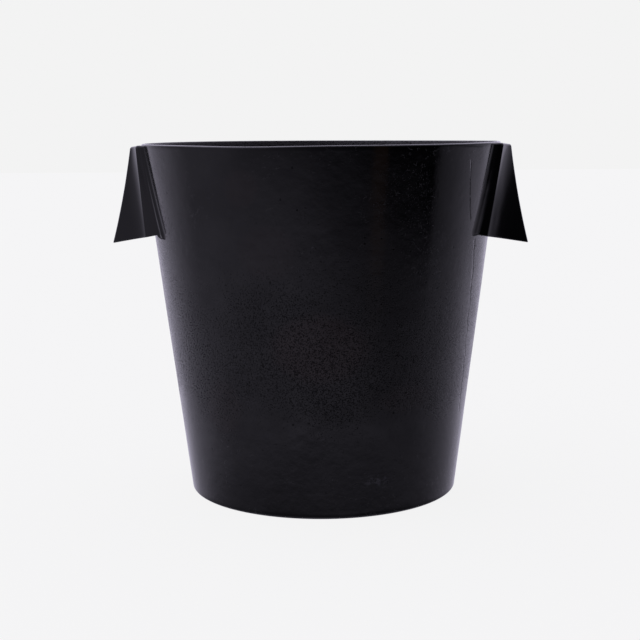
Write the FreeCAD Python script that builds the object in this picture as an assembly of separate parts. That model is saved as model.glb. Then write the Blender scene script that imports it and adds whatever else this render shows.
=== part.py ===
# Florist bucket: a tapered cast-aluminium bucket, blackened, with two flared finger lugs
# welded just below its rim. The two lugs differ a little, as hand-fitted ones do.
#
# Frame, in millimetres: the origin is the centre of the underside, +Z is up, and the lugs
# lie on +X (right) and -X (left). Each lug is a hollow flap: it starts thin at the rim, stands
# away from the wall towards its hem, and is open below for the fingers.
import FreeCAD, Part
import math
from types import SimpleNamespace
import os

V = FreeCAD.Vector
UP = V(0, 0, 1)
ORIGIN = V(0, 0, 0)

# Bucket
BUCKET_HEIGHT = 220.0
RIM_DIAMETER = 225.0
BASE_DIAMETER = 170.0
WALL = 4.5                  # wall thickness, measured level
FLOOR = 5.0                 # floor thickness above the recess
RIM_EDGE = 1.0              # radius of the rim's outer and inner edge
BASE_EDGE = 1.8             # radius where the wall meets the underside
FLOOR_CORNER = 8.0          # radius inside, between the floor and the wall
FOOT_RING = 9.0             # width of the ring that the bucket stands on
FOOT_RECESS = 1.5           # how far the underside is hollowed inside the ring

# Lugs: each pair is the value at the rim and the value LUG_DROP below it
LUG_DROP = 60.0
FACE_HALF_WIDTH = (24.0, 21.5)      # half-width of the outer face
FACE_START = 4.1                    # distance of the outer face from the rim's edge, at its corners
FACE_SLOPE = 0.135                  # its slope away from upright at the rim ...
FACE_FLARE = 0.0010                 # ... and how quickly the slope grows further down
FACE_CROWN = 1.0                    # how far the outer face bulges in its middle
HEM_HEIGHT = 158.8                  # height of the outer corners of the hem
HEM_SLOPE = 12.0                    # degrees, the hem rises towards the wall
TOP_SLOPE = 8.0                        # degrees, the lug's top falls away from the rim
TOP_DROP = 0.8                         # how far the lug's top sits below the rim
FLAP = 4.6                          # thickness of the flap
POCKET_ROOF = 12.0                  # depth of the finger pocket's roof below the rim
POCKET_SIDE_ANGLE = 3.5             # how far inside the crisp edge the pocket starts

# Weld beads, one down each side of each lug
BEAD_HOLLOW = 0.4                      # how far its dressed face is hollowed
BEAD_MOST_OF_BAND = 0.85               # share of the band that it may cover
BEAD_END_HEIGHT = 166.5
BEAD_END = ((0.0, 1.0), (-0.9, 0.85), (-1.6, 0.55), (-2.0, 0.15))   # rounded end: drop, scale

# The two lugs were fitted and dressed by hand and differ a little. Angles are half-angles seen
# from above: root_angle at the wall, and arris_angle at the crisp edge along the flap's side.
# standoff is that edge's distance from the wall, fold_normal the direction faced just outside
# it, fold_reach the reach of the hollow fold beside it; the bead runs out over wall and band.
RIGHT_LUG = SimpleNamespace(
    root_angle=(20.2, 29.4), arris_angle=(18.4, 24.6), standoff=(4.6, 5.4),
    fold_normal=(70.0, 52.0), fold_reach=(8.8, 10.5),
    bead_on_wall=(4.6, 4.6), bead_on_band=(6.6, 4.6))
LEFT_LUG = SimpleNamespace(
    root_angle=(18.2, 28.9), arris_angle=(17.0, 22.6), standoff=(4.4, 8.3),
    fold_normal=(72.0, 55.0), fold_reach=(7.4, 10.5),
    bead_on_wall=(3.2, 4.6), bead_on_band=(4.4, 5.0))

RIM_RADIUS = RIM_DIAMETER / 2
BASE_RADIUS = BASE_DIAMETER / 2
REACH = 20.0                        # how far cutting tools run past the metal


def wall_radius(z):
    """Outer radius of the bucket at height z."""
    return BASE_RADIUS + (RIM_RADIUS - BASE_RADIUS) * z / BUCKET_HEIGHT


def at_height(pair, z):
    """Value at height z of a lug dimension given at the rim and LUG_DROP below it."""
    t = (BUCKET_HEIGHT - z) / LUG_DROP
    return pair[0] + (pair[1] - pair[0]) * t


def polar(radius, degrees, z):
    """Point on the front side of the right lug, at an angle from its middle plane."""
    a = math.radians(degrees)
    return V(radius * math.cos(a), -radius * math.sin(a), z)


def mirrored(point):
    return V(point.x, -point.y, point.z)


def bezier(*poles):
    curve = Part.BezierCurve()
    curve.setPoles(list(poles))
    return curve.toShape()


def revolved(points):
    face = Part.Face(Part.makePolygon(points + [points[0]]))
    return face.revolve(ORIGIN, UP, 360)


def circles_at(shape, height, radius):
    """The round edges of a shape at one height and radius."""
    return [edge for edge in shape.Edges
            if hasattr(edge.Curve, "Radius")
            and abs(edge.BoundBox.ZMin - height) < 0.01
            and abs(edge.BoundBox.ZMax - height) < 0.01
            and abs(edge.Curve.Radius - radius) < 0.01]


def extended_cone():
    """The bucket's outer form without its hollow, carried on above the rim and below the base."""
    low, high = -REACH, BUCKET_HEIGHT + REACH
    return Part.makeCone(wall_radius(low), wall_radius(high), high - low, V(0, 0, low), UP)


def bucket_shell():
    """Wall and floor, cast in one piece, with a foot ring under the floor."""
    floor_top = FOOT_RECESS + FLOOR
    ring_inner = BASE_RADIUS - FOOT_RING
    inner_floor = wall_radius(floor_top) - WALL
    shell = revolved([
        V(0, 0, FOOT_RECESS),
        V(ring_inner, 0, FOOT_RECESS),
        V(ring_inner, 0, 0),
        V(BASE_RADIUS, 0, 0),
        V(RIM_RADIUS, 0, BUCKET_HEIGHT),
        V(RIM_RADIUS - WALL, 0, BUCKET_HEIGHT),
        V(inner_floor, 0, floor_top),
        V(0, 0, floor_top),
    ])
    rounded = [
        (BUCKET_HEIGHT, RIM_RADIUS, RIM_EDGE),
        (BUCKET_HEIGHT, RIM_RADIUS - WALL, RIM_EDGE),
        (0.0, BASE_RADIUS, BASE_EDGE),
        (floor_top, inner_floor, FLOOR_CORNER),
    ]
    for height, radius, fillet in rounded:
        shell = shell.makeFillet(fillet, circles_at(shell, height, radius))
    return shell


def face_corner(z):
    """Front corner of the lug's outer face at height z."""
    drop = BUCKET_HEIGHT - z
    out = RIM_RADIUS + FACE_START + FACE_SLOPE * drop + FACE_FLARE * drop ** 2
    return V(out, -at_height(FACE_HALF_WIDTH, z), z)


def fold_control(lug, edge, z, depth=0.0):
    """Pole of the hollow fold beside the crisp edge, or of its inner copy at some depth."""
    a = math.radians(at_height(lug.fold_normal, z))
    along = V(math.cos(a), math.sin(a), 0)
    inward = V(-math.sin(a), math.cos(a), 0)
    return edge + along * at_height(lug.fold_reach, z) + inward * depth


def band_root(lug, z):
    return polar(wall_radius(z), at_height(lug.root_angle, z), z)


def arris(lug, z):
    return polar(wall_radius(z) + at_height(lug.standoff, z), at_height(lug.arris_angle, z), z)


def lug_section(lug, z):
    """Outline of the lug at height z, carried on into the wall for a clean cut."""
    edge = arris(lug, z)
    root = band_root(lug, z)
    inside = root + (root - edge).normalize() * WALL
    pole = fold_control(lug, edge, z)
    corner = face_corner(z)
    crown = V(corner.x + FACE_CROWN, 0, z)
    return Part.Wire([
        Part.makeLine(inside, edge),
        bezier(edge, pole, corner),
        Part.Arc(corner, crown, mirrored(corner)).toShape(),
        bezier(mirrored(corner), mirrored(pole), mirrored(edge)),
        Part.makeLine(mirrored(edge), mirrored(inside)),
        Part.makeLine(mirrored(inside), inside),
    ])


def pocket_section(lug, z):
    """Outline of the finger pocket at height z; the wall itself closes its inner side."""
    angle = at_height(lug.arris_angle, z) - POCKET_SIDE_ANGLE
    inside = polar(wall_radius(z) - WALL, angle, z)
    edge = polar(wall_radius(z) + at_height(lug.standoff, z) - FLAP, angle, z)
    pole = fold_control(lug, arris(lug, z), z, FLAP)
    corner = face_corner(z) + V(-FLAP, FLAP * 0.7, 0)
    crown = V(corner.x + FACE_CROWN, 0, z)
    return Part.Wire([
        Part.makeLine(inside, edge),
        bezier(edge, pole, corner),
        Part.Arc(corner, crown, mirrored(corner)).toShape(),
        bezier(mirrored(corner), mirrored(pole), mirrored(edge)),
        Part.makeLine(mirrored(edge), mirrored(inside)),
        Part.makeLine(mirrored(inside), inside),
    ])


def heights(top, bottom, count):
    return [top + (bottom - top) * i / (count - 1) for i in range(count)]


def half_space(point, tilt, upward):
    """A big block above or below a plane through a point, tilted about Y."""
    size = 4 * RIM_DIAMETER
    block = Part.makeBox(size, size, size, V(-size / 2, -size / 2, 0 if upward else -size))
    block.rotate(ORIGIN, V(0, 1, 0), tilt)
    block.translate(point)
    return block


def handle(lug):
    """The lug: a flared flap, trimmed to the wall, a little below the rim and to its hem."""
    bottom = HEM_HEIGHT - REACH / 2
    body = Part.makeLoft([lug_section(lug, z) for z in heights(BUCKET_HEIGHT + 2, bottom, 5)], True)
    roof = BUCKET_HEIGHT - POCKET_ROOF
    pocket = Part.makeLoft([pocket_section(lug, z) for z in heights(roof, bottom - 1, 5)], True)
    body = body.cut(pocket).cut(extended_cone())
    lug_top = BUCKET_HEIGHT - TOP_DROP
    body = body.cut(half_space(V(RIM_RADIUS, 0, lug_top), TOP_SLOPE, True))
    body = body.cut(half_space(V(0, 0, lug_top), 0, True))
    body = body.cut(half_space(face_corner(HEM_HEIGHT), HEM_SLOPE, False))
    return body.Solids[0]


def bead_section(lug, z, scale):
    """Outline of the bead at height z: along the wall, over its face, and back along the band."""
    root = band_root(lug, z)
    band = arris(lug, z) - root
    wall_reach = at_height(lug.bead_on_wall, z) * scale
    band_reach = min(at_height(lug.bead_on_band, z), band.Length * BEAD_MOST_OF_BAND) * scale
    swing = math.degrees(wall_reach / wall_radius(z))
    angle = at_height(lug.root_angle, z)
    on_wall = polar(wall_radius(z), angle + swing, z)
    between = polar(wall_radius(z), angle + swing / 2, z)
    on_band = root + V(band).normalize() * band_reach
    across = (on_band - on_wall).normalize()
    middle = (on_wall + on_band) * 0.5 - V(across.y, -across.x, 0) * BEAD_HOLLOW * scale
    return Part.Wire([
        Part.Arc(root, between, on_wall).toShape(),
        Part.Arc(on_wall, middle, on_band).toShape(),
        Part.makeLine(on_band, root),
    ])


def front_weld(lug):
    """A dressed bead filling the front joint of a lug, with a rounded lower end."""
    top = BUCKET_HEIGHT - TOP_DROP
    sections = [bead_section(lug, z, 1.0) for z in heights(top, BEAD_END_HEIGHT, 8)[:-1]]
    sections += [bead_section(lug, BEAD_END_HEIGHT + drop, scale) for drop, scale in BEAD_END]
    return Part.makeLoft(sections, True, True).Solids[0]


def flipped_across_y(shape):
    """Mirror image from the front (-Y) side to the back (+Y) side."""
    return shape.mirror(ORIGIN, V(0, 1, 0))


def turned_to_left(shape):
    """The same piece on the opposite side of the bucket."""
    copy = shape.copy()
    copy.rotate(ORIGIN, UP, 180)
    return copy


def build():
    right_weld = front_weld(RIGHT_LUG)
    left_weld = front_weld(LEFT_LUG)
    return {
        "bucket_shell": bucket_shell(),
        "right_handle": handle(RIGHT_LUG),
        "right_handle_front_weld": right_weld,
        "right_handle_back_weld": flipped_across_y(right_weld),
        "left_handle": turned_to_left(handle(LEFT_LUG)),
        "left_handle_front_weld": turned_to_left(flipped_across_y(left_weld)),
        "left_handle_back_weld": turned_to_left(left_weld),
    }


os.makedirs("parts", exist_ok=True)
for node, shape in build().items():
    shape.exportStep(os.path.join("parts", node + ".step"))
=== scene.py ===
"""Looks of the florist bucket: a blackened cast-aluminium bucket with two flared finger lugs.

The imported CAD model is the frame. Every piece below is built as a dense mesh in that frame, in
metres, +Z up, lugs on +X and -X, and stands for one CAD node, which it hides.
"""

import math
from types import SimpleNamespace

import bpy
import numpy as np
from mathutils import Euler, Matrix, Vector, noise


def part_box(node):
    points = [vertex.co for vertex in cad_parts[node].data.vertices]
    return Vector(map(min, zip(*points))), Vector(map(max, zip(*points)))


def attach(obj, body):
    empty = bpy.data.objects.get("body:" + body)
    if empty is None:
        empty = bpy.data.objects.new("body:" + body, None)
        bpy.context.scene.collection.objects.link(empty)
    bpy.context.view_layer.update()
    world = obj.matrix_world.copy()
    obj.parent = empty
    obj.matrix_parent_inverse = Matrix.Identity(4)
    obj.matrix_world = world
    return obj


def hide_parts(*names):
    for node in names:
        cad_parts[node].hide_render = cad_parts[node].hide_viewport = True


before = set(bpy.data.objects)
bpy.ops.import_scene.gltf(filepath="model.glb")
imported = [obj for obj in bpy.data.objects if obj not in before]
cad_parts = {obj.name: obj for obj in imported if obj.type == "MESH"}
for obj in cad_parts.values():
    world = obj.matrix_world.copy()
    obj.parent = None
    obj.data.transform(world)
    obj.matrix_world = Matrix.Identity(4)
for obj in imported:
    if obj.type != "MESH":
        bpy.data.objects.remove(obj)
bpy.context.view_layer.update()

MM = 0.001

# ---------------------------------------------------------------- sizes, in millimetres
shell_low, shell_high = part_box("bucket_shell")
HEIGHT = (shell_high.z - shell_low.z) / MM
RIM_RADIUS = 112.5
BASE_RADIUS = 85.0
WALL = 4.5
FLOOR = 5.0
RIM_OUTER_EDGE = 0.95
RIM_INNER_EDGE = 1.0
BASE_EDGE = 1.8
FLOOR_CORNER = 8.0
FOOT_RING = 9.0
FOOT_RECESS = 1.5

LUG_DROP = 60.0                     # each lug pair: value at the rim, value LUG_DROP below it
FACE_HALF_WIDTH = (24.0, 21.5)
FACE_START = 4.1
FACE_FLARE = 0.0010
FACE_CROWN = 1.0
HEM_SLOPE = math.tan(math.radians(12.0))
TOP_SLOPE = math.tan(math.radians(8.0))
TOP_DROP = 0.8                      # the lugs' tops sit a little below the rim
FLAP = 4.6
POCKET_ROOF = 12.0
POCKET_SIDE_ANGLE = 3.5

# the two lugs were dressed by hand and differ by a few millimetres
RIGHT_LUG = SimpleNamespace(
    side=1, root_angle=(20.2, 29.4), edge_angle=(18.4, 24.6), standoff=(4.6, 5.4),
    fold_normal=(70.0, 52.0), face_slope=0.127, hem_height=158.0, edge_passes=2,
    fold_reach=(8.8, 10.5), bead_low=164.4, bead_on_wall=(4.6, 4.6),
    bead_on_band=(6.6, 4.6), bead_crest=(0.05, 0.10))
LEFT_LUG = SimpleNamespace(
    side=-1, root_angle=(18.2, 28.9), edge_angle=(17.0, 22.6), standoff=(4.4, 8.3),
    fold_normal=(72.0, 55.0), face_slope=0.157, hem_height=158.8, edge_passes=5,
    fold_reach=(7.4, 10.5), bead_low=163.0, bead_on_wall=(3.2, 4.6),
    bead_on_band=(4.4, 5.0), bead_crest=(0.06, 0.50))


# ---------------------------------------------------------------- mesh helpers
def smooth_mesh(name, vertices, faces):
    """A smooth-shaded object from millimetre vertices."""
    mesh = bpy.data.meshes.new(name)
    mesh.from_pydata([tuple(v) for v in np.asarray(vertices) * MM], [], faces)
    mesh.validate()
    mesh.polygons.foreach_set("use_smooth", [True] * len(mesh.polygons))
    mesh.update()
    piece = bpy.data.objects.new(name, mesh)
    bpy.context.scene.collection.objects.link(piece)
    return piece


def ring_faces(first, second, count):
    """Quads between two closed rings of vertex numbers."""
    quads = []
    for i in range(count):
        j = (i + 1) % count
        quads.append((first + i, first + j, second + j, second + i))
    return quads


def ripple(point, size, octaves=2):
    """Smooth noise from about -1 to 1, with features of a size in millimetres."""
    return noise.fractal(Vector(point) / size, 1.0, 2.0, octaves)


def arc(centre, radius, start, end, count):
    """Points of an arc in a radius-height plane, both ends included, angles in degrees."""
    return [(centre[0] + radius * math.cos(a), centre[1] + radius * math.sin(a))
            for a in np.radians(np.linspace(start, end, count))]


def line(start, end, count):
    """Points from just after start to just before end."""
    t = np.linspace(0, 1, count + 2)[1:-1]
    return [(start[0] + (end[0] - start[0]) * s, start[1] + (end[1] - start[1]) * s) for s in t]


# ---------------------------------------------------------------- bucket shell
LEAN = math.atan2(RIM_RADIUS - BASE_RADIUS, HEIGHT)
LEAN_DEG = math.degrees(LEAN)
SHELL_SEGMENTS = 490
OUTER_ROWS = 108
INNER_ROWS = 34
BROAD_RIPPLE = (46, 0.10)           # size and depth of the wall's unevenness
FINE_RIPPLE = (7, 0.022)
QUIET_ANGLE = 42                    # degrees from a lug's middle where the wall is even again
QUIET_FADE = 8
QUIET_HEIGHT = 150
RIM_ZONE = 30                       # height under the rim that its unevenness reaches
PIT_COUNT = 260


def wall_radius(z):
    return BASE_RADIUS + (RIM_RADIUS - BASE_RADIUS) * z / HEIGHT


def corner_centre(corner, radius, inside, up):
    """Centre of the arc that rounds a corner between a level face and the leaning wall.

    inside is -1 where the metal lies towards the axis and 1 where it lies away from it;
    up is -1 where the metal lies below the corner and 1 where it lies above it.
    """
    level = corner[1] + up * radius
    wall_there = corner[0] + (level - corner[1]) * math.tan(LEAN)
    return (wall_there + inside * radius / math.cos(LEAN), level)


def shell_profile():
    """Radius-height points from the centre of the underside, up the outside, over the rim,
    down the inside and to the centre of the floor."""
    floor_top = FOOT_RECESS + FLOOR
    ring_inner = BASE_RADIUS - FOOT_RING
    base = corner_centre((BASE_RADIUS, 0), BASE_EDGE, -1, 1)
    rim_out = corner_centre((RIM_RADIUS, HEIGHT), RIM_OUTER_EDGE, -1, -1)
    rim_in = corner_centre((RIM_RADIUS - WALL, HEIGHT), RIM_INNER_EDGE, 1, -1)
    floor_corner = corner_centre((wall_radius(floor_top) - WALL, floor_top), FLOOR_CORNER, -1, 1)

    base_arc = arc(base, BASE_EDGE, -90, -LEAN_DEG, 7)
    rim_out_arc = arc(rim_out, RIM_OUTER_EDGE, -LEAN_DEG, 90, 7)
    rim_in_arc = arc(rim_in, RIM_INNER_EDGE, 90, 180 - LEAN_DEG, 6)
    floor_arc = arc(floor_corner, FLOOR_CORNER, -LEAN_DEG, -90, 9)

    under = line((2.0, FOOT_RECESS), (ring_inner - 1.5, FOOT_RECESS), 8)
    cove = arc((ring_inner - 1.2, FOOT_RECESS - 1.2), 1.2, 90, 20, 4)
    ring = arc((ring_inner + 0.6, 0.6), 0.6, 200, 270, 4)
    flat = line(ring[-1], base_arc[0], 3)
    outside = line(base_arc[-1], rim_out_arc[0], OUTER_ROWS)
    top = line(rim_out_arc[-1], rim_in_arc[0], 3)
    inside = line(rim_in_arc[-1], floor_arc[0], INNER_ROWS)
    floor = line(floor_arc[-1], (2.0, floor_top), 10)
    return (under + cove + ring + flat + base_arc + outside + rim_out_arc + top + rim_in_arc
            + inside + floor_arc + floor)


def beside_lugs(angles, z):
    """1 where a lug is joined to the wall, fading to 0 a few degrees away from it."""
    from_side = np.degrees(np.arccos(np.abs(np.cos(angles))))
    near = np.clip((QUIET_ANGLE - from_side) / QUIET_FADE, 0, 1)
    return near * near * (3 - 2 * near) * min(1.0, max(0.0, (z - QUIET_HEIGHT) / 12))


def rim_lift(angles):
    """How far the hand-ground rim rises and dips round its edge."""
    back = np.maximum(0.0, np.sin(angles))
    front = np.maximum(0.0, -np.sin(angles))
    worn = np.exp(-((np.degrees(angles) - 250) / 17) ** 2)
    return (0.10 * np.sin(2 * angles + 0.5) - 0.8 * np.cos(angles) * back
            - 0.50 * front - 0.5 * worn)


def shell_pits(random):
    """Blow holes of the casting, large enough to be real dents: angle, height, radius, depth."""
    pits = []
    for _ in range(PIT_COUNT):
        angle = random.uniform(0, 2 * math.pi)
        z = random.uniform(45, 215)
        beside_lug = abs(math.cos(angle)) > 0.72
        if z > 150 and not beside_lug and random.uniform() < 0.8:
            continue
        pits.append((angle, z, random.uniform(0.9, 1.9), random.uniform(0.06, 0.20)))
    return pits


def make_shell():
    profile = shell_profile()
    angles = np.linspace(0, 2 * math.pi, SHELL_SEGMENTS, endpoint=False)
    random = np.random.RandomState(7)
    pits = shell_pits(random)
    vertices = []
    for radius, z in profile:
        outside = radius > wall_radius(z) - WALL / 2
        pushes = np.zeros(SHELL_SEGMENTS)
        if z > BASE_EDGE:
            for i, a in enumerate(angles):
                spot = (radius * math.cos(a), radius * math.sin(a), z)
                pushes[i] = (BROAD_RIPPLE[1] * ripple(spot, BROAD_RIPPLE[0])
                             + FINE_RIPPLE[1] * ripple(spot, FINE_RIPPLE[0]))
            pushes *= 1 - beside_lugs(angles, z)
        if outside:
            for angle, height, size, depth in pits:
                if abs(height - z) < 3 * size:
                    away = np.remainder(angles - angle + math.pi, 2 * math.pi) - math.pi
                    gap = (away * radius) ** 2 + (z - height) ** 2
                    pushes -= depth * np.exp(-gap / (0.45 * size) ** 2 / 2)
        rim_share = max(0.0, (z - HEIGHT + RIM_ZONE) / RIM_ZONE) ** 2
        lift = rim_share * rim_lift(angles)
        r = radius + pushes
        vertices += list(zip(r * np.cos(angles), r * np.sin(angles), z + lift))
    faces = []
    for row in range(len(profile) - 1):
        faces += ring_faces(row * SHELL_SEGMENTS, (row + 1) * SHELL_SEGMENTS, SHELL_SEGMENTS)
    last_ring = (len(profile) - 1) * SHELL_SEGMENTS
    under_centre = len(vertices)
    vertices.append((0, 0, FOOT_RECESS))
    vertices.append((0, 0, FOOT_RECESS + FLOOR))
    for i in range(SHELL_SEGMENTS):
        j = (i + 1) % SHELL_SEGMENTS
        faces.append((under_centre, j, i))
        faces.append((under_centre + 1, last_ring + i, last_ring + j))
    return smooth_mesh("cast_bucket_shell", vertices, faces)


# ---------------------------------------------------------------- lugs
ROOT_STEPS = 14                     # outline points from the wall to the crisp edge
FOLD_STEPS = 40                     # ... along the hollow fold
FACE_STEPS = 44                     # ... across the outer face
POCKET_SIDE_STEPS = 8               # of the fold's points, those on the pocket's short side
LUG_LEVELS = 96                     # heights at which the outline is worked out
LUG_ROWS = 84                       # rows of the finished lug
HEM_EDGE = 0.55
TOP_EDGE = 1.4
RIM_LAP = 1.28                      # how far the lug's top covers the rim's rounded edge
WALL_LAP = 0.2                      # ... and how far the rest of it runs into the wall
POCKET_ROUNDING = 7.0               # height over which the pocket's roof closes
LUG_RIPPLE = (24, 0.10)             # size and depth of the lug's unevenness


def at_height(pair, z):
    return pair[0] + (pair[1] - pair[0]) * (HEIGHT - z) / LUG_DROP


def polar(radius, degrees):
    a = math.radians(degrees)
    return np.array([radius * math.cos(a), -radius * math.sin(a)])


def gathered(count):
    """Parameters from 0 to 1, gathered a little towards both ends."""
    u = np.linspace(0, 1, count + 1)
    return 0.6 * u + 0.4 * (1 - np.cos(math.pi * u)) / 2


def straight(start, end, count):
    return [start + (end - start) * t for t in gathered(count)[:-1]]


def bezier(start, pole, end, count):
    return [start * (1 - t) ** 2 + pole * 2 * t * (1 - t) + end * t ** 2
            for t in gathered(count)[:-1]]


def crowned(corner, crown, count):
    """A shallow arc from a corner to its mirror image."""
    t = gathered(count)
    return [np.array([corner[0] + crown * (1 - (2 * s - 1) ** 2), corner[1] * (1 - 2 * s)])
            for s in t]


def root_point(lug, z):
    """Where the band beside the lug meets the bucket's wall."""
    return polar(wall_radius(z), at_height(lug.root_angle, z))


def edge_point(lug, z):
    """The crisp edge between the band and the hollow fold."""
    return polar(wall_radius(z) + at_height(lug.standoff, z), at_height(lug.edge_angle, z))


def face_corner(lug, z):
    drop = HEIGHT - z
    out = RIM_RADIUS + FACE_START + lug.face_slope * drop + FACE_FLARE * drop ** 2
    return np.array([out, -at_height(FACE_HALF_WIDTH, z)])


def fold_pole(lug, edge, z, depth):
    a = math.radians(at_height(lug.fold_normal, z))
    along = np.array([math.cos(a), math.sin(a)])
    inward = np.array([-math.sin(a), math.cos(a)])
    return edge + along * at_height(lug.fold_reach, z) + inward * depth


def whole(half, middle):
    """Outline from its front half, its middle stretch and the mirrored back half."""
    back = [p * (1, -1) for p in reversed(half)]
    return np.array(half + middle + back)


def softened(outline, passes):
    """Rounds the corners of an open outline a little, keeping its ends."""
    for _ in range(passes):
        inner = (outline[:-2] + 2 * outline[1:-1] + outline[2:]) / 4
        outline = np.vstack([outline[:1], inner, outline[-1:]])
    return outline


def outer_outline(lug, z):
    root, edge, corner = root_point(lug, z), edge_point(lug, z), face_corner(lug, z)
    half = straight(root, edge, ROOT_STEPS)
    half += bezier(edge, fold_pole(lug, edge, z, 0), corner, FOLD_STEPS)
    return softened(whole(half, crowned(corner, FACE_CROWN, FACE_STEPS)), lug.edge_passes)


def inner_outline(lug, z):
    """Wall contact, finger pocket and wall contact again; one point for each outer one."""
    contact = wall_radius(z) - WALL_LAP
    near_rim = max(0.0, min(1.0, (z - HEIGHT + 4) / 3))
    contact -= (RIM_LAP - WALL_LAP) * near_rim
    side_angle = at_height(lug.edge_angle, z) - POCKET_SIDE_ANGLE
    root = polar(contact, at_height(lug.root_angle, z))
    mouth = polar(contact, side_angle)
    side = polar(wall_radius(z) + at_height(lug.standoff, z) - FLAP, side_angle)
    corner = face_corner(lug, z) + np.array([-FLAP, FLAP * 0.7])
    pole = fold_pole(lug, edge_point(lug, z), z, FLAP)
    half = straight(root, mouth, ROOT_STEPS)
    half += straight(mouth, side, POCKET_SIDE_STEPS)
    half += bezier(side, pole, corner, FOLD_STEPS - POCKET_SIDE_STEPS)
    outline = softened(whole(half, crowned(corner, FACE_CROWN, FACE_STEPS)), 3)

    roof = HEIGHT - POCKET_ROOF
    t = min(1.0, max(0.0, (z - roof + POCKET_ROUNDING) / POCKET_ROUNDING))
    open_share = math.sqrt(1 - t * t)
    distance = np.linalg.norm(outline, axis=1, keepdims=True)
    on_wall = outline / distance * contact
    return on_wall + (outline - on_wall) * open_share


def inward_normals(ring):
    """Unit normals of a closed outline, pointing into the metal."""
    along = np.roll(ring, -1, axis=0) - np.roll(ring, 1, axis=0)
    along /= np.maximum(np.linalg.norm(along, axis=1, keepdims=True), 1e-9)
    normal = np.stack([-along[:, 1], along[:, 0]], axis=1)
    x, y = ring[:, 0], ring[:, 1]
    area = np.sum(x * np.roll(y, -1) - np.roll(x, -1) * y)
    return normal if area > 0 else -normal


def column_heights(levels, xs, plane):
    """Height where each column of the outline meets a sloping plane z = plane(x)."""
    meets = []
    for column in xs.T:
        gap = levels - plane(column)
        meets.append(np.interp(0.0, gap, levels))
    return np.array(meets)


def make_lug(name, lug):
    side = lug.side
    levels = np.linspace(lug.hem_height - 8, HEIGHT + 3, LUG_LEVELS)
    rings = np.array([np.vstack([outer_outline(lug, z), inner_outline(lug, z)[::-1]])
                      for z in levels])
    normals = np.array([inward_normals(ring) for ring in rings])
    count = rings.shape[1]
    half = count // 2
    hem_x, top_x = face_corner(lug, lug.hem_height)[0], RIM_RADIUS - 1.4
    highest = HEIGHT - TOP_DROP
    hem = column_heights(levels, rings[:, :, 0],
                         lambda x: lug.hem_height + (hem_x - x) * HEM_SLOPE)
    top = column_heights(levels, rings[:, :, 0],
                         lambda x: np.minimum(highest, highest - (x - top_x) * TOP_SLOPE))
    top_inset = np.where(np.arange(count) < half, 1.0, 0.0)

    rows = [(0.0, HEM_EDGE * (1 - math.cos(a)), HEM_EDGE * (1 - math.sin(a)), 0.0)
            for a in np.radians([0, 28, 55, 78])]
    rows += [(t, 0.0, 0.0, 0.0) for t in np.linspace(0, 1, LUG_ROWS)]
    rows += [(1.0, 0.0, 0.0, a) for a in np.radians([20, 40, 60, 78, 90])]

    vertices = []
    for t, lift, inset, curl in rows:
        low, high = hem + HEM_EDGE, top - TOP_EDGE * top_inset
        z = low + (high - low) * t
        if t == 0.0 and inset > 0:
            z = hem + lift
        if curl > 0:
            z = top - TOP_EDGE * (1 - math.sin(curl)) * top_inset
        inward = inset + TOP_EDGE * (1 - math.cos(curl)) * top_inset
        for i in range(count):
            x = np.interp(z[i], levels, rings[:, i, 0])
            y = np.interp(z[i], levels, rings[:, i, 1])
            nx = np.interp(z[i], levels, normals[:, i, 0])
            ny = np.interp(z[i], levels, normals[:, i, 1])
            step = inward[i]
            if i < half:
                from_wall = min(i, half - 1 - i)
                dressed = min(1.0, max(0.0, (from_wall - ROOT_STEPS + 4) / 10))
                spot = (x * side, y * side, z[i])
                step += LUG_RIPPLE[1] * dressed * ripple(spot, LUG_RIPPLE[0])
            vertices.append((side * (x + nx * step), side * (y + ny * step), z[i]))
    faces = []
    for row in range(len(rows) - 1):
        faces += ring_faces(row * count, (row + 1) * count, count)
    last = (len(rows) - 1) * count
    for i in range(half - 1):
        j = count - 1 - i
        faces.append((i, j, j - 1, i + 1))
        faces.append((last + i, last + i + 1, last + j - 1, last + j))
    return smooth_mesh(name, vertices, faces)


# ---------------------------------------------------------------- weld beads
BEAD_ROWS = 100
BEAD_FULLNESS = 0.45                # 1 would fill the joint to its corner
BEAD_STEPS = 22
BEAD_CREST_WIDTH = 1.15
BEAD_CREST_SHIFT = 0.35             # of the crest, from the joint towards the band
BEAD_MOST_OF_BAND = 0.85            # share of the band that a bead may cover
BEAD_BURIED = 0.6
BEAD_TUCK = 0.5                     # each edge runs on a little under the surface it meets
BEAD_EDGE_SINK = 0.02               # ... and lies this far below it where they meet


def bead_swell(lug, z):
    """Share of a bead's full size at a height, less towards its two rounded ends."""
    up = min(1.0, max(0.0, (z - lug.bead_low) / 3.0))
    down = min(1.0, (HEIGHT - TOP_DROP - z) / 1.2 + 0.25)
    return max(math.sqrt(1 - (1 - up) ** 2), 0.02) * math.sqrt(1 - (1 - down) ** 2)


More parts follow.
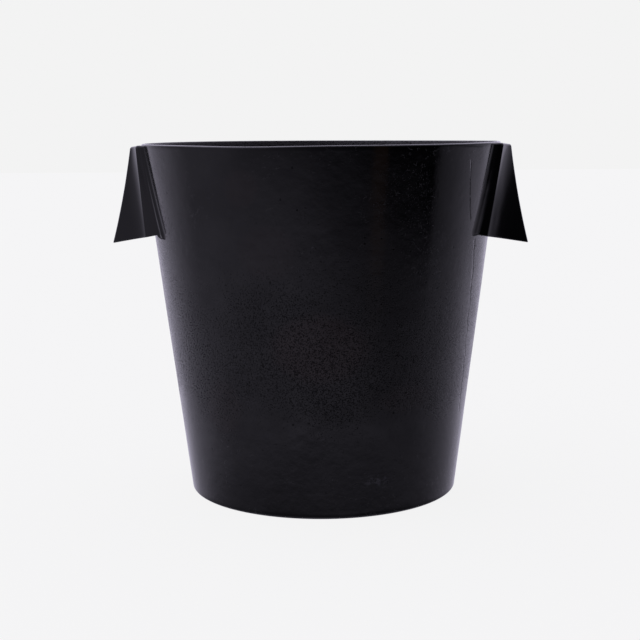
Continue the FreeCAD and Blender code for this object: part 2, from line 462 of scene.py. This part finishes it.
def make_bead(name, lug, back):
    """A dressed weld bead filling one side joint of a lug; back is -1 or 1."""
    vertices = []
    for z in np.linspace(HEIGHT - TOP_DROP, lug.bead_low, BEAD_ROWS):
        root, edge = root_point(lug, z), edge_point(lug, z)
        out = root / np.linalg.norm(root)
        along_wall = np.array([out[1], -out[0]])
        along_band = (edge - root) / np.linalg.norm(edge - root)
        across = along_band - along_wall
        across /= np.linalg.norm(across)
        outward = np.array([across[1], -across[0]])
        swell = bead_swell(lug, z)
        spread = swell * (1 + 0.06 * ripple((z, lug.side * 9, back * 5), 14))
        crest = at_height(lug.bead_crest, z) * swell
        crest *= 1 + 0.22 * ripple((root[0] * lug.side, root[1] * back, z), 8)
        wall_turn = math.degrees(at_height(lug.bead_on_wall, z) * spread / wall_radius(z))
        on_wall = polar(wall_radius(z), at_height(lug.root_angle, z) + wall_turn)
        band_reach = np.linalg.norm(edge - root) * BEAD_MOST_OF_BAND
        band_reach = min(at_height(lug.bead_on_band, z), band_reach)
        on_band = root + along_band * band_reach * spread
        near_wall = on_wall + (root - on_wall) * BEAD_FULLNESS
        near_band = on_band + (root - on_band) * BEAD_FULLNESS
        profile = []
        for t in np.linspace(0, 1, BEAD_STEPS):
            p = (on_wall * (1 - t) ** 3 + near_wall * 3 * t * (1 - t) ** 2
                 + near_band * 3 * t * t * (1 - t) + on_band * t ** 3)
            from_crest = (np.dot(p - root, across) - BEAD_CREST_SHIFT) / BEAD_CREST_WIDTH
            raised = crest * math.exp(-from_crest ** 2) - BEAD_EDGE_SINK * (2 * t - 1) ** 8
            profile.append(p + outward * raised)
        first = profile[0] + (profile[0] - profile[1]) - outward * BEAD_TUCK * 0.4
        last = profile[-1] + (profile[-1] - profile[-2]) - outward * BEAD_TUCK * 0.4
        profile = [first] + profile + [last]
        for corner, share in ((last, 0.5), (root, 1.0), (first, 0.5)):
            profile.append(corner - outward * BEAD_BURIED * share * (0.3 + 0.7 * swell))
        vertices += [(lug.side * p[0], back * -p[1], z) for p in profile]
    faces = []
    points = BEAD_STEPS + 5
    for row in range(BEAD_ROWS - 1):
        faces += ring_faces(row * points, (row + 1) * points, points)
    faces.append(tuple(range(points - 1, -1, -1)))
    faces.append(tuple(range((BEAD_ROWS - 1) * points, BEAD_ROWS * points)))
    piece = smooth_mesh(name, vertices, faces)
    if lug.side * back < 0:
        piece.data.flip_normals()
    return piece


# ---------------------------------------------------------------- material
class Nodes:
    """Short calls for building a node tree."""

    def __init__(self, tree):
        self.tree = tree
        tree.nodes.clear()

    def add(self, kind, inputs=(), **settings):
        node = self.tree.nodes.new(kind)
        for name, value in settings.items():
            setattr(node, name, value)
        for key, value in dict(inputs).items():
            if isinstance(value, bpy.types.NodeSocket):
                self.tree.links.new(value, node.inputs[key])
            else:
                node.inputs[key].default_value = value
        return node

    def math(self, operation, a, b=0.0, clamp=False):
        node = self.add("ShaderNodeMath", {0: a, 1: b}, operation=operation)
        node.use_clamp = clamp
        return node.outputs[0]

    def spread(self, value, low, high, to_low=0.0, to_high=1.0, smooth=True):
        """Value between low and high, mapped to another range and held at its ends."""
        kind = "SMOOTHSTEP" if smooth else "LINEAR"
        node = self.add("ShaderNodeMapRange", {"Value": value, "From Min": low, "From Max": high,
                                               "To Min": to_low, "To Max": to_high},
                        interpolation_type=kind)
        return node.outputs["Result"]

    def weighted(self, value, factor, plus):
        """value * factor + plus"""
        node = self.add("ShaderNodeMath", {0: value, 1: factor, 2: plus}, operation="MULTIPLY_ADD")
        return node.outputs[0]

    def noise(self, coords, scale, detail=3.0, rough=0.55):
        node = self.add("ShaderNodeTexNoise", {"Vector": coords, "Scale": scale,
                                               "Detail": detail, "Roughness": rough})
        return node.outputs["Fac"]

    def cells(self, coords, scale):
        return self.add("ShaderNodeTexVoronoi", {"Vector": coords, "Scale": scale,
                                                 "Randomness": 1.0}, feature="F1")

    def mix(self, share, a, b):
        node = self.add("ShaderNodeMix", {0: share, 6: a, 7: b}, data_type="RGBA")
        return node.outputs[2]


def soft_spot(n, place, centre, size):
    """1 in the middle of an ellipsoid, fading to 0 at its surface; millimetres."""
    total = None
    for axis, middle, reach in zip("XYZ", centre, size):
        part = n.weighted(place.outputs[axis], 1 / (reach * MM), -middle / reach)
        part = n.math("MULTIPLY", part, part)
        total = part if total is None else n.math("ADD", total, part)
    return n.spread(total, 1.0, 0.35)


def flaw_line(n, coords, turn, height, low, high, angle, lean, width, wander):
    """1 along a wavering, broken line on the wall: heights in millimetres, degrees from the
    front at the lower end, degrees of lean for each millimetre up, width in millimetres."""
    steady = math.radians(angle - lean * low)
    away = n.weighted(height, -math.radians(lean) / MM, n.math("ADD", turn, -steady))
    wobble = n.weighted(n.noise(coords, 75, 3, 0.6), wander, -0.5 * wander)
    away = n.math("MULTIPLY", n.math("ABSOLUTE", n.math("ADD", away, wobble)), RIM_RADIUS * MM)
    line = n.spread(away, width * MM / 2, width * MM / 8)
    line = n.math("MULTIPLY", line, n.spread(height, low * MM, (low + 3) * MM))
    line = n.math("MULTIPLY", line, n.spread(height, high * MM, (high - 3) * MM))
    return n.math("MULTIPLY", line, n.spread(n.noise(coords, 190, 2), 0.36, 0.46))


RUSTY = (                           # browner patches: centre, reach, strength
    ((2, -97, 104), (33, 40, 24), 1.0),
    ((-41, -98, 196), (12, 30, 13), 0.40),
    ((-27, -101, 160), (20, 30, 18), 0.35),
    ((-56, -72, 66), (14, 30, 20), 0.45),
    ((52, -78, 72), (20, 30, 10), 0.40))
PITTED = (                          # patches of pits outside the rough middle
    ((50, -94, 184), (26, 40, 34), 0.42),
    ((18, -105, 176), (22, 30, 22), 0.22),
    ((-92, -56, 190), (14, 26, 36), 0.30),
    ((84, -62, 168), (12, 26, 14), 0.30))


def strongest(n, place, spots):
    total = None
    for centre, reach, strength in spots:
        spot = n.math("MULTIPLY", soft_spot(n, place, centre, reach), strength)
        total = spot if total is None else n.math("MAXIMUM", total, spot)
    return total


def black_casting(name, pitting):
    """Antique-black cast aluminium: nearly black under a thin gloss, with the casting's pits.

    pitting is 1 for the bucket, whose middle band is left as cast, and 0 for the filed lugs.
    """
    material = bpy.data.materials.new(name)
    material.use_nodes = True
    n = Nodes(material.node_tree)
    coords = n.add("ShaderNodeTexCoord").outputs["Object"]
    place = n.add("ShaderNodeSeparateXYZ", {0: coords})
    height = place.outputs["Z"]
    sideways = n.math("ABSOLUTE", place.outputs["X"])
    turn = n.math("ARCTAN2", place.outputs["X"], n.math("MULTIPLY", place.outputs["Y"], -1.0))
    level_xy = n.add("ShaderNodeCombineXYZ", {0: place.outputs["X"], 1: place.outputs["Y"]})
    radius = n.add("ShaderNodeVectorMath", {0: level_xy.outputs[0]}, operation="LENGTH")
    slope = (RIM_RADIUS - BASE_RADIUS) / HEIGHT
    # the inside wall, as a mask: rougher, pitted and, as painted light, coloured lighter
    depth_in = n.weighted(height, slope, (BASE_RADIUS - WALL / 2) * MM)
    inside = n.math("GREATER_THAN", depth_in, radius.outputs["Value"])
    inside = n.math("MULTIPLY", inside, n.spread(height, 0.004, 0.005))
    inside = n.math("MULTIPLY", inside, pitting)

    # where the casting was left rough: a soft-edged band round the middle, more to the sides
    level = n.weighted(n.noise(coords, 24, 2), 0.07, n.math("ADD", height, -0.035))
    band = n.math("MULTIPLY", n.spread(level, 0.205, 0.105), n.spread(level, 0.040, 0.078))
    sides = n.math("MULTIPLY", n.spread(sideways, 0.074, 0.096), n.spread(level, 0.190, 0.150))
    sides = n.math("MULTIPLY", sides, n.spread(level, 0.026, 0.056))
    rusty = strongest(n, place, RUSTY)
    rough_zone = n.math("MAXIMUM", band, n.math("MULTIPLY", sides, 0.8))
    rough_zone = n.math("MAXIMUM", rough_zone, strongest(n, place, PITTED))
    rough_zone = n.math("MAXIMUM", rough_zone, inside)
    rough_zone = n.math("MULTIPLY", rough_zone, pitting)

    # crowded, irregular pits under a millimetre across, fewer and smaller outside that zone
    grain = n.noise(coords, 1250, 2, 0.45)
    limit = n.weighted(rough_zone, 0.23, 0.28)
    pits = n.spread(grain, limit, n.math("ADD", limit, -0.14))
    pits = n.math("MULTIPLY", pits, pitting)

    # round blow holes, each cell keeping its hole or not by its own random number
    hole_cells = n.cells(coords, 430)
    keep = n.add("ShaderNodeSeparateColor", {0: hole_cells.outputs["Color"]}).outputs["Red"]
    clusters = n.spread(n.noise(coords, 70, 3), 0.46, 0.62, 0.1, 1.0)
    wanted = n.weighted(n.math("MULTIPLY", rough_zone, clusters), 0.14, 0.012 * pitting)
    holes = n.spread(hole_cells.outputs["Distance"], 0.10, 0.34, 1.0, 0.0)
    holes = n.math("MULTIPLY", holes, n.math("LESS_THAN", keep, wanted))
    hollows = n.math("MAXIMUM", pits, holes)

    # a crack beside the right lug, and the rough line where the mould halves met below it
    crack = flaw_line(n, coords, turn, height, 174, 211, 57.4, -0.125, 1.3, 0.035)
    seam = flaw_line(n, coords, turn, height, 52, 164, 69.5, -0.066, 2.6, 0.070)
    flaws = n.math("MULTIPLY", n.math("MAXIMUM", crack, seam), pitting)

    # small curved tool and mould marks in the polished part
    marks = n.math("ABSOLUTE", n.math("SUBTRACT", n.noise(coords, 210, 2, 0.5), 0.5))
    marks = n.spread(marks, 0.003, 0.014, 1.0, 0.0)
    marks = n.math("MULTIPLY", marks, n.spread(n.noise(coords, 330, 1), 0.52, 0.60))
    marks = n.math("MULTIPLY", marks, n.spread(n.noise(coords, 30, 2), 0.44, 0.60))
    marks = n.math("MULTIPLY", marks, 0.05 + 0.95 * pitting)

    dents = n.noise(coords, 210, 2, 0.5)
    normal = None
    for relief, depth in ((dents, 0.00006 * (0.08 + 0.92 * pitting)), (marks, 0.00007),
                          (n.math("MULTIPLY", flaws, -1.0), 0.00030),
                          (n.math("MULTIPLY", hollows, -1.0), 0.00008)):
        bump = n.add("ShaderNodeBump", {"Strength": 1.0, "Distance": depth, "Height": relief})
        if normal:
            n.tree.links.new(normal, bump.inputs["Normal"])
        normal = bump.outputs["Normal"]

    gloss = n.spread(n.noise(coords, 55, 3), 0.35, 0.65, 0.08, 0.13)
    gloss = n.weighted(rough_zone, 0.06, gloss)
    gloss = n.weighted(hollows, 0.15, gloss)
    gloss = n.weighted(inside, 0.25, gloss)

    brown = n.math("MULTIPLY", n.spread(n.noise(coords, 19, 3), 0.55, 0.72), 0.15)
    brown = n.math("MULTIPLY", n.math("MAXIMUM", brown, rusty), pitting)
    tone = n.mix(brown, (0.0005, 0.0005, 0.0008, 1), (0.0110, 0.0050, 0.0045, 1))
    # painted light: the inside wall is coloured a lighter grey than the same black finish outside,
    # standing in for the dim light on it
    tone = n.mix(inside, tone, (0.0200, 0.0190, 0.0210, 1))
    scuff = n.math("MULTIPLY", soft_spot(n, place, (34, -81, 23), (9, 12, 4)),
                   n.spread(n.noise(coords, 300, 3), 0.46, 0.58))
    tone = n.mix(n.math("MULTIPLY", scuff, pitting), tone, (0.0300, 0.0290, 0.0340, 1))
    # painted shade: the pits and holes are coloured darker still
    tone = n.mix(n.math("MULTIPLY", hollows, 0.9), tone, (0.0004, 0.0004, 0.0005, 1))

    # painted shade: the pits and holes mirror little, for the shade inside them, and the thin
    # black finish is uneven over the rest
    even = n.spread(n.noise(coords, 34, 4, 0.6), 0.35, 0.62, 0.86, 1.0)
    even = n.math("MAXIMUM", even, 1.0 - pitting)
    shine = n.add("ShaderNodeCombineColor", {0: even, 1: even, 2: even}).outputs[0]
    shine = n.mix(n.math("MULTIPLY", hollows, 0.75), shine, (0.25, 0.25, 0.25, 1))
    # painted shade: the crack and the mould line mirror little, for the shade in them; their dents
    # are real relief
    shine = n.mix(n.math("MULTIPLY", flaws, 0.85), shine, (0.12, 0.12, 0.12, 1))

    shader = n.add("ShaderNodeBsdfPrincipled", {"Base Color": tone, "Roughness": gloss,
                                                "IOR": 1.5, "Specular Tint": shine,
                                                "Normal": normal})
    n.add("ShaderNodeOutputMaterial", {"Surface": shader.outputs[0]})
    return material


# ---------------------------------------------------------------- studio
BACKDROP = 0.896                    # the pale studio grey, as light
FLOOR_SIZE = 6.0                    # half the floor's side, in metres
STUDIO_TINT = (0.96, 0.91, 1.13)    # the lights are a little cold
WARM = (0.060, 0.031, 0.014)        # a warm edge standing to the right of the camera
WARM_ANGLE = 39.5                   # degrees from the front

# The room round the bucket. Each level is the sine of its elevation, then brightness against
# degrees from the front, negative to the left: the floor close by and further out, the side
# lights, the darker room at eye level, which the lugs mirror, and the high soft light.
EYE_LEVEL = ((-180, 0.90), (-150, 0.60), (-135, 0.60), (-124, 0.40), (-113, 0.25), (-95, 0.24),
             (-85, 0.28), (-72, 0.38), (-45, 0.25), (-25, 0.13), (5, 0.07), (25, 0.02),
             (75, 0.012), (104, 0.03), (109, 0.13), (114, 0.20), (123, 0.30), (131, 0.34),
             (138, 0.60), (150, 0.80), (180, 0.90))
ROOM = (
    (-0.74, ((-180, 0.45), (-90, 0.40), (0, 0.42), (90, 0.36), (180, 0.45))),
    (-0.62, ((-180, 0.30), (-110, 0.20), (-40, 0.13), (0, 0.10), (50, 0.085), (110, 0.15),
             (180, 0.30))),
    (-0.55, ((-180, 0.30), (-110, 0.17), (-85, 0.15), (-50, 0.115), (-15, 0.130), (25, 0.145),
             (38, 0.085), (60, 0.07), (85, 0.08), (115, 0.12), (180, 0.30))),
    (-0.49, ((-180, 0.35), (-110, 0.20), (-75, 0.21), (-50, 0.235), (-20, 0.26), (5, 0.26),
             (30, 0.24), (60, 0.18), (80, 0.155), (110, 0.15), (180, 0.35))),
    (-0.44, ((-180, 0.42), (-110, 0.21), (-75, 0.30), (-50, 0.37), (-20, 0.49), (5, 0.50),
             (30, 0.38), (60, 0.31), (80, 0.25), (110, 0.16), (180, 0.42))),
    (-0.36, ((-180, 0.70), (-140, 0.50), (-110, 0.54), (-95, 0.55), (-75, 0.48), (-50, 0.47),
             (-20, 0.38), (0, 0.30), (17, 0.22), (55, 0.165), (77, 0.26), (95, 0.39),
             (125, 0.40), (150, 0.40), (180, 0.75))),
    (-0.25, ((-180, 0.95), (-160, 0.72), (-143, 0.84), (-128, 0.72), (-110, 0.49), (-92, 0.33),
             (-75, 0.40), (-62, 0.39), (-48, 0.29), (-30, 0.25), (-15, 0.19), (-3, 0.12),
             (8, 0.080), (25, 0.045), (45, 0.016), (62, 0.009), (79, 0.012), (84, 0.17),
             (98, 0.29), (110, 0.45), (125, 0.68), (145, 0.84), (165, 0.66), (180, 0.80))),
    (-0.14, ((-180, 0.95), (-145, 0.78), (-120, 0.59), (-105, 0.46), (-92, 0.34), (-65, 0.38),
             (-45, 0.29), (-25, 0.19), (0, 0.09), (15, 0.050), (30, 0.022), (50, 0.008),
             (80, 0.006), (83, 0.17), (95, 0.27), (110, 0.42), (125, 0.56), (145, 0.78),
             (160, 0.80), (180, 0.80))),
    (-0.11, ((-180, 0.90), (-145, 0.72), (-120, 0.50), (-105, 0.40), (-92, 0.31), (-65, 0.37),
             (-45, 0.28), (-25, 0.17), (0, 0.085), (15, 0.045), (30, 0.021), (50, 0.009),
             (80, 0.010), (84, 0.17), (94, 0.25), (101, 0.20), (106, 0.16), (114, 0.19),
             (122, 0.24), (128, 0.60), (136, 0.75), (180, 0.90))),
    (-0.08, ((-180, 0.90), (-145, 0.66), (-120, 0.42), (-105, 0.32), (-92, 0.28), (-65, 0.36),
             (-45, 0.26), (-25, 0.15), (0, 0.080), (15, 0.040), (30, 0.020), (75, 0.010),
             (84, 0.060), (94, 0.060), (101, 0.28), (110, 0.26), (116, 0.36), (127, 0.38),
             (138, 0.75), (180, 0.90))),
    (-0.05, ((-180, 0.90), (-145, 0.60), (-124, 0.38), (-113, 0.25), (-95, 0.24), (-85, 0.30),
             (-72, 0.38), (-45, 0.25), (-25, 0.13), (5, 0.07), (25, 0.02), (75, 0.012),
             (98, 0.030), (103, 0.07), (107, 0.22), (113, 0.37), (126, 0.45), (134, 0.42),
             (139, 0.75), (180, 0.90))),
    (0.00, EYE_LEVEL),
    (0.16, EYE_LEVEL),
    (0.55, ((-180, 1.50), (-115, 1.30), (-85, 1.60), (-60, 1.50), (-45, 1.20), (-30, 0.80),
            (-15, 0.40), (5, 0.28), (25, 0.32), (45, 0.40), (60, 0.50), (85, 0.60), (105, 0.90),
            (135, 1.20), (160, 1.00), (180, 1.20))))


def light_ramp(n, around, lights):
    """Colour ramp round the horizon from pairs of degrees and brightness."""
    ramp = n.add("ShaderNodeValToRGB", {"Fac": around})
    stops = ramp.color_ramp.elements
    for i, (degrees, bright) in enumerate(lights):
        stop = stops[i] if i < 2 else stops.new(degrees / 360 + 0.5)
        stop.position = degrees / 360 + 0.5
        stop.color = [bright * c for c in STUDIO_TINT] + [1]
    return ramp.outputs["Color"]


def make_world():
    """The camera sees a plain pale studio; reflections see a dark room with large soft lights."""
    world = bpy.data.worlds.new("studio")
    bpy.context.scene.world = world
    world.use_nodes = True
    n = Nodes(world.node_tree)
    direction = n.add("ShaderNodeTexCoord").outputs["Generated"]
    x, y, z = n.add("ShaderNodeSeparateXYZ", {0: direction}).outputs
    turn = n.math("ARCTAN2", x, n.math("MULTIPLY", y, -1.0))
    around = n.weighted(turn, 0.5 / math.pi, 0.5)
    lower, lights = ROOM[0]
    glow = light_ramp(n, around, lights)
    for level, lights in ROOM[1:]:
        share = n.spread(z, lower, level, smooth=False)
        glow = n.mix(share, glow, light_ramp(n, around, lights))
        lower = level
    edge = n.math("ABSOLUTE", n.weighted(turn, 180 / math.pi, -WARM_ANGLE))
    edge = n.math("MULTIPLY", n.spread(edge, 6.0, 3.0), n.spread(z, -0.40, -0.30))
    warm = n.mix(edge, (0, 0, 0, 1), (*WARM, 1))
    glow = n.add("ShaderNodeMix", {0: 1.0, 6: glow, 7: warm}, data_type="RGBA",
                 blend_type="ADD").outputs[2]
    seen = n.add("ShaderNodeLightPath").outputs["Is Camera Ray"]
    colour = n.mix(seen, glow, (BACKDROP, BACKDROP, BACKDROP, 1))
    background = n.add("ShaderNodeBackground", {"Color": colour, "Strength": 1.0})
    n.add("ShaderNodeOutputWorld", {"Surface": background.outputs[0]})


def make_floor():
    size = FLOOR_SIZE
    mesh = bpy.data.meshes.new("studio_floor")
    mesh.from_pydata([(-size, -size, 0), (size, -size, 0), (size, size, 0), (-size, size, 0)],
                     [], [(0, 1, 2, 3)])
    floor = bpy.data.objects.new("studio_floor", mesh)
    bpy.context.scene.collection.objects.link(floor)
    material = bpy.data.materials.new("pale_floor")
    material.use_nodes = True
    n = Nodes(material.node_tree)
    glow = n.add("ShaderNodeEmission", {"Color": (BACKDROP, BACKDROP, BACKDROP, 1),
                                        "Strength": 0.972})
    dull = n.add("ShaderNodeBsdfDiffuse", {"Color": (0.05, 0.05, 0.05, 1)})
    both = n.add("ShaderNodeAddShader", {0: glow.outputs[0], 1: dull.outputs[0]})
    n.add("ShaderNodeOutputMaterial", {"Surface": both.outputs[0]})
    mesh.materials.append(material)
    floor.visible_glossy = False
    floor.visible_diffuse = False


def make_camera():
    """The viewpoint: just above the rim, a little to the right of the front."""
    distance, eye_height = 812.5 * MM, 229.3 * MM
    azimuth, aim, pitch, roll = (math.radians(v) for v in (2.2, 2.31, 8.59, -0.473))
    data = bpy.data.cameras.new("camera")
    data.sensor_width = 36.0
    data.lens = 71.75
    camera = bpy.data.objects.new("camera", data)
    bpy.context.scene.collection.objects.link(camera)
    camera.location = (distance * math.sin(azimuth), -distance * math.cos(azimuth), eye_height)
    look = Euler((math.pi / 2 - pitch, 0, aim), "XYZ").to_matrix()
    tilt = Euler((0, 0, roll), "XYZ").to_matrix()
    camera.rotation_euler = (look @ tilt).to_euler("XYZ")
    bpy.context.scene.camera = camera


# ---------------------------------------------------------------- assembly
cast_black = black_casting("black_cast_aluminium", 1.0)
smooth_black = black_casting("black_filed_aluminium", 0.0)


def finish_piece(piece, node, material):
    piece.data.materials.append(material)
    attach(piece, "root")
    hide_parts(node)


finish_piece(make_shell(), "bucket_shell", cast_black)
for word, lug in (("left", LEFT_LUG), ("right", RIGHT_LUG)):
    piece = make_lug(word + "_finger_lug", lug)
    finish_piece(piece, word + "_handle", smooth_black)
    for depth, back in (("front", -1), ("back", 1)):
        bead = make_bead(f"{word}_{depth}_bead", lug, back)
        finish_piece(bead, f"{word}_handle_{depth}_weld", smooth_black)

make_world()
make_floor()
make_camera()
bpy.context.scene.view_settings.view_transform = "Standard"
